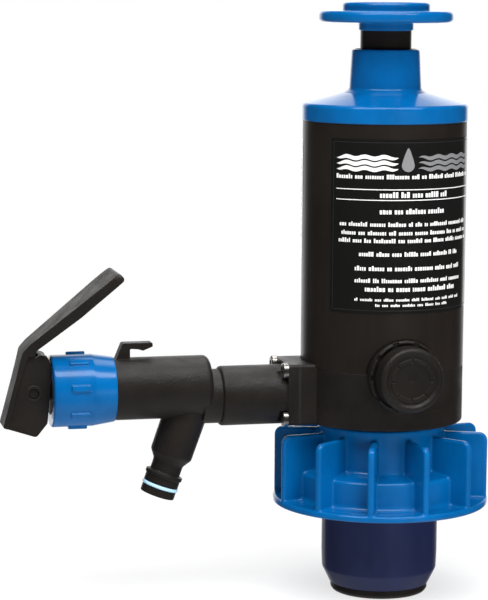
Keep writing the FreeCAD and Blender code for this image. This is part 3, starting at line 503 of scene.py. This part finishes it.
class PUMP_OT_sleeve(bpy.types.Operator):
    """Make the expanding rubber sleeve that grips the drum's bung"""
    bl_idname = "pump.sleeve"
    bl_label = "Bung sleeve"

    def execute(self, context):
        s = context.scene.pump_sleeve
        finish = context.scene.pump_finish
        low, high = span("bung_sleeve")
        outer = high.x
        bore = span("neck_tube")[1].x - 1.5 * MM
        foot = span("neck_end_ring")[1].x + 0.5 * MM
        middle = (s.foot_z + high.z) / 2
        profile = [(bore, low.z), (foot, low.z), (outer - s.crown, s.foot_z), (outer, middle - 9 * MM),
                   (outer, middle + 9 * MM), (outer - s.crown, high.z), (bore, high.z)]
        bm = lathe(profile, 144)
        rims = [e for e in bm.edges if e.calc_face_angle(0.0) > math.radians(12)
                and abs(e.verts[0].co.z - e.verts[1].co.z) < 1e-6 and e.verts[0].co.xy.length > bore + MM]
        bmesh.ops.bevel(bm, geom=rims, offset=s.soft_edge, affect="EDGES", segments=4, profile=0.5, material=-1)
        for vert in bm.verts:
            radius = vert.co.xy.length
            if radius > foot and abs(vert.co.y) < 0.9 * MM:
                vert.co.xy *= 1.0 - s.seam * (0.9 * MM - abs(vert.co.y)) / (0.9 * MM) / radius
        navy = soft_rubber("navy_rubber", finish.navy, finish, (0.35, 0.42), (0.075, 0.078, 0.125))
        sleeve = mesh_object("bung_sleeve_rubber", bm, navy)
        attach(sleeve, "pump_base")
        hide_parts("bung_sleeve")
        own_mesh(sleeve)
        return {"FINISHED"}


# ------------------------------------------------------------------ labels

def add_block(bm, left, right, low, high, cell=2.0 * MM):
    """Flat block of print, x along the label's width and y up it, fine enough to bend round the barrel."""
    columns = max(1, math.ceil((right - left) / cell))
    made = bmesh.ops.create_grid(bm, x_segments=columns, y_segments=1, size=0.5)["verts"]
    bmesh.ops.scale(bm, vec=(right - left, high - low, 1), verts=made)
    bmesh.ops.translate(bm, vec=((left + right) / 2, (low + high) / 2, 0), verts=made)


def add_words(bm, rng, left, right, low, high, gap):
    """Line of dummy words: rows of short upright strokes of uneven height and width."""
    size = high - low
    at = left
    while at < right - size:
        for _ in range(rng.randint(2, 9)):
            wide = size * rng.uniform(0.30, 0.52)
            if at + wide > right:
                break
            tall = size * rng.choice((0.70, 0.72, 0.74, 1.0))
            add_block(bm, at, at + wide, low, low + tall)
            at += wide + size * 0.15
        at += gap


def add_wave(bm, left, right, low, high, swell, length):
    """Wavy stripe, thinning towards its ends."""
    wave = bmesh.new()
    add_block(wave, left, right, low, high, 0.6 * MM)
    middle = (left + right) / 2
    for vert in wave.verts:
        share = abs(vert.co.x - middle) / (right - left) * 2
        vert.co.y = (low + high) / 2 + (vert.co.y - (low + high) / 2) * (1 - share ** 6)
        vert.co.y += swell * math.sin(math.tau * vert.co.x / length)
    flat = bpy.data.meshes.new("wave")
    wave.to_mesh(flat)
    wave.free()
    bm.from_mesh(flat)
    bpy.data.meshes.remove(flat)


def add_drop(bm, middle, low, high, width):
    """Drop of liquid, round below and drawn to a point above."""
    round_r = width / 2
    made = bmesh.ops.create_circle(bm, cap_ends=True, segments=32, radius=round_r)["verts"]
    for vert in made:
        if vert.co.y > 0:
            rise = vert.co.y / round_r
            vert.co.y = rise * (high - low - round_r)
            vert.co.x *= 1 - 0.55 * rise
    bmesh.ops.translate(bm, vec=(middle, low + round_r, 0), verts=made)


def wrap_print(name, bm, radius, middle_deg, base_z, material, thick, label_body="pump_base"):
    """Bend flat print round the barrel, thicken it and let it ride with the label."""
    middle = math.radians(middle_deg)
    for vert in bm.verts:
        angle = middle + vert.co.x / radius
        vert.co = (radius * math.sin(angle), -radius * math.cos(angle), base_z + vert.co.y)
    bmesh.ops.recalc_face_normals(bm, faces=bm.faces)
    for face in bm.faces:
        if face.normal.dot(Vector((face.calc_center_median().x, face.calc_center_median().y, 0))) < 0:
            face.normal_flip()
    bmesh.ops.solidify(bm, geom=bm.faces[:], thickness=-thick)
    bmesh.ops.recalc_face_normals(bm, faces=bm.faces)
    piece = mesh_object(name, bm, material)
    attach(piece, label_body)
    return piece


class PUMP_OT_labels(bpy.types.Operator):
    """Finish the label films and print dummy text, rules and a liquid emblem on them"""
    bl_idname = "pump.labels"
    bl_label = "Labels"

    def execute(self, context):
        s = context.scene.pump_print
        finish = context.scene.pump_finish
        wear(label_film("black_film", finish.film, 0.13), "front_label")
        wear(label_film("white_film", finish.white_film, 0.24), "side_label")
        white = printed_ink("white_ink", finish.ink)
        grey = printed_ink("grey_ink", finish.grey_ink)
        dark = printed_ink("dark_ink", tinted(finish.film, 3.0))
        rng = random.Random(s.seed)

        low, high = span("front_label")
        radius = -low.y + 0.02 * MM
        tall = high.z - low.z
        half = radius * math.radians(FILM_DEG[0]) / 2
        edge = 3.0 * MM
        band = tall - 14.6 * MM

        bm = bmesh.new()
        for row in range(3):
            base = band + (0.2 + 2.6 * row) * MM
            add_wave(bm, -half + edge, -9 * MM, base, base + 1.9 * MM, 0.45 * MM, 9 * MM)
        for height in (57.5, 52.6):
            add_block(bm, -half + edge, half - edge, height * MM, (height + 0.4) * MM)
        for height, reach, size in ((62.6, 39.0, 2.1), (54.0, 17.5, 2.6), (46.4, 17.5, 2.5), (40.6, 37.0, 2.0),
                                    (36.6, 36.0, 2.0), (33.0, 37.5, 2.0), (26.7, 27.0, 2.1), (20.0, 29.0, 2.2),
                                    (14.4, 29.0, 2.0), (10.3, 24.0, 2.4), (5.8, 29.0, 1.4), (3.3, 19.0, 1.3)):
            add_words(bm, rng, -reach * MM, reach * MM, height * MM, (height + size) * MM, s.word_gap)
        wrap_print("front_print_white", bm, radius, 6.6, low.z, white, s.ink_thick)

        bm = bmesh.new()
        add_drop(bm, -4.5 * MM, band - 0.2 * MM, band + 10.8 * MM, 6.2 * MM)
        for row in range(3):
            base = band + (0.2 + 2.6 * row) * MM
            add_wave(bm, 0.5 * MM, half - edge, base, base + 1.9 * MM, 0.45 * MM, 9 * MM)
        wrap_print("front_print_grey", bm, radius, 6.6, low.z, grey, s.ink_thick)

        bm = bmesh.new()
        rim = half - 1.2 * MM
        for bottom, top in ((1.2 * MM, 1.5 * MM), (tall - 1.5 * MM, tall - 1.2 * MM)):
            add_block(bm, -rim, rim, bottom, top)
        for side in (-rim, rim - 0.3 * MM):
            add_block(bm, side, side + 0.3 * MM, 1.5 * MM, tall - 1.5 * MM)
        wrap_print("front_print_border", bm, radius, 6.6, low.z, dark, s.ink_thick)

        low, high = span("side_label")
        bm = bmesh.new()
        reach = radius * math.radians(FILM_DEG[1]) / 2 - 3 * MM
        for row in range(13):
            base = (6.0 + 3.6 * row) * MM
            end = reach * (1.0 if row % 4 else 0.55)
            add_words(bm, rng, -reach, end, base, base + 1.7 * MM, s.word_gap)
        wrap_print("side_print", bm, radius, -123.5, low.z, dark, s.ink_thick)
        return {"FINISHED"}


# ------------------------------------------------------------------ stage

class PUMP_OT_stage(bpy.types.Operator):
    """Lay the floor, hang the lights and set up the camera"""
    bl_idname = "pump.stage"
    bl_label = "Studio"

    def execute(self, context):
        s = context.scene.pump_studio
        lens = bpy.data.cameras.new("camera")
        lens.lens = s.lens
        lens.clip_end = 50.0
        camera = place(bpy.data.objects.new("camera", lens))
        heading = Matrix.Rotation(-s.turn, 4, "Z")
        tilt = Matrix.Rotation(math.pi / 2 - s.dip, 4, "X")
        camera.matrix_world = Matrix.Translation(s.eye) @ heading @ tilt @ Matrix.Rotation(s.roll, 4, "Z")
        context.scene.camera = camera
        context.scene.view_settings.view_transform = "Standard"

        bm = bmesh.new()
        bmesh.ops.create_grid(bm, x_segments=1, y_segments=1, size=s.floor_size / 2)
        paint = Paint("studio_floor")
        distance = paint.node("ShaderNodeVectorMath", operation="LENGTH")
        paint.wire(paint.where, distance.inputs[0])
        # Painted light: the floor glows at 0.7 of full white near the pump, rising to full white half a metre
        # out, which lightens the pump's shadow on it
        painted_glow_share = paint.ranged(distance.outputs["Value"], 0.05, 0.50, 0.70, 1.0)
        paper = paint.blend(paint.ranged(paint.noise(0.2), 0.3, 0.7, 0.0, 1.0), s.floor_colour,
                            tinted(s.floor_colour, 1.02))
        floor = mesh_object("floor", bm, paint.set(
            Base_Color=paint.blend(painted_glow_share, paper, (0.0, 0.0, 0.0)), Roughness=0.7, Specular_IOR_Level=0.0,
            Emission_Color=paint.blend(painted_glow_share, (0.0, 0.0, 0.0), (1.0, 1.0, 1.0)), Emission_Strength=1.0))
        floor.visible_glossy = False

        self.hang("softbox", (1.6, 1.0), s.softbox, (-0.15, -0.55, 1.30), (0.0, 0.0, 0.15), glossy=False)
        self.hang("strip", (1.6, 0.35), s.strip, (-0.10, -0.50, 1.15), (0.0, 0.0, 0.10))
        self.hang("fill", (0.3, 0.3), s.fill, (0.10, -0.50, 0.04), (0.0, 0.0, 0.06), glossy=False)
        context.scene.world = self.room(s)
        return {"FINISHED"}

    def hang(self, name, size, power, spot, target, glossy=True):
        """Area light at a spot, turned to its target; not seen itself, and mirrored only if glossy."""
        light = bpy.data.lights.new(name, "AREA")
        light.shape = "RECTANGLE"
        light.size, light.size_y = size
        light.energy = power
        lamp = place(bpy.data.objects.new(name, light))
        lamp.location = spot
        aim = Vector(target) - lamp.location
        lamp.rotation_euler = aim.to_track_quat("-Z", "Y").to_euler()
        lamp.visible_camera = False
        lamp.visible_glossy = glossy

    def room(self, s):
        """Dim room with a white wall behind and a white panel overhead; seen directly it is plain white."""
        world = bpy.data.worlds.new("studio")
        world.use_nodes = True
        tree = world.node_tree
        sky = tree.nodes["Background"]
        where = tree.nodes.new("ShaderNodeTexCoord").outputs["Generated"]
        away = Vector((math.sin(s.turn), math.cos(s.turn), 0.0))
        rise = math.radians(68)
        overhead = away * math.cos(rise) + Vector((0, 0, 1)) * math.sin(rise)
        light = None
        for direction, start, full, low, high in ((away, 0.77, 0.97, s.room, s.wall),
                                                  (overhead, 0.90, 0.975, 0.0, s.ceiling),
                                                  (Vector((0, 0, -1)), 0.30, 0.80, 0.0, s.ground)):
            dot = tree.nodes.new("ShaderNodeVectorMath")
            dot.operation = "DOT_PRODUCT"
            tree.links.new(where, dot.inputs[0])
            dot.inputs[1].default_value = direction
            panel = tree.nodes.new("ShaderNodeMapRange")
            panel.interpolation_type = "SMOOTHSTEP"
            tree.links.new(dot.outputs["Value"], panel.inputs["Value"])
            for key, number in (("From Min", start), ("From Max", full), ("To Min", low), ("To Max", high)):
                panel.inputs[key].default_value = number
            if light is None:
                light = panel.outputs["Result"]
            else:
                both = tree.nodes.new("ShaderNodeMath")
                both.operation = "MAXIMUM"
                tree.links.new(light, both.inputs[0])
                tree.links.new(panel.outputs["Result"], both.inputs[1])
                light = both.outputs["Value"]
        seen = tree.nodes.new("ShaderNodeLightPath").outputs["Is Camera Ray"]
        strength = tree.nodes.new("ShaderNodeMix")
        tree.links.new(seen, strength.inputs["Factor"])
        tree.links.new(light, strength.inputs["A"])
        strength.inputs["B"].default_value = 1.0
        tree.links.new(strength.outputs["Result"], sky.inputs["Strength"])
        sky.inputs["Color"].default_value = (1.0, 1.0, 1.0, 1.0)
        return world


class PUMP_PT_panel(bpy.types.Panel):
    """Lists the pump's pieces and their settings"""
    bl_idname = "PUMP_PT_panel"
    bl_label = "Drum pump"
    bl_space_type = "VIEW_3D"
    bl_region_type = "UI"
    bl_category = "Pump"

    def draw(self, context):
        for operator in OPERATORS:
            self.layout.operator(operator.bl_idname)
        for name, group in SETTINGS.items():
            box = self.layout.box()
            for field in group.__annotations__:
                box.prop(getattr(context.scene, name), field)


SETTINGS = {
    "pump_studio": StudioSettings,
    "pump_finish": FinishSettings,
    "pump_sleeve": SleeveSettings,
    "pump_print": PrintSettings,
}
OPERATORS = (PUMP_OT_stage, PUMP_OT_black_mouldings, PUMP_OT_barrel, PUMP_OT_blue_mouldings, PUMP_OT_seals,
             PUMP_OT_hardware, PUMP_OT_springs, PUMP_OT_sleeve, PUMP_OT_labels)
CLASSES = (*SETTINGS.values(), *OPERATORS, PUMP_PT_panel)


def register():
    for cls in CLASSES:
        bpy.utils.register_class(cls)
    for name, group in SETTINGS.items():
        setattr(bpy.types.Scene, name, bpy.props.PointerProperty(type=group))


def unregister():
    for name in SETTINGS:
        delattr(bpy.types.Scene, name)
    for cls in reversed(CLASSES):
        bpy.utils.unregister_class(cls)


def main():
    register()
    bpy.ops.pump.stage()
    bpy.ops.pump.black_mouldings()
    bpy.ops.pump.barrel()
    bpy.ops.pump.blue_mouldings()
    bpy.ops.pump.seals()
    bpy.ops.pump.hardware()
    bpy.ops.pump.springs()
    bpy.ops.pump.sleeve()
    bpy.ops.pump.labels()


if __name__ == "__main__":
    main()
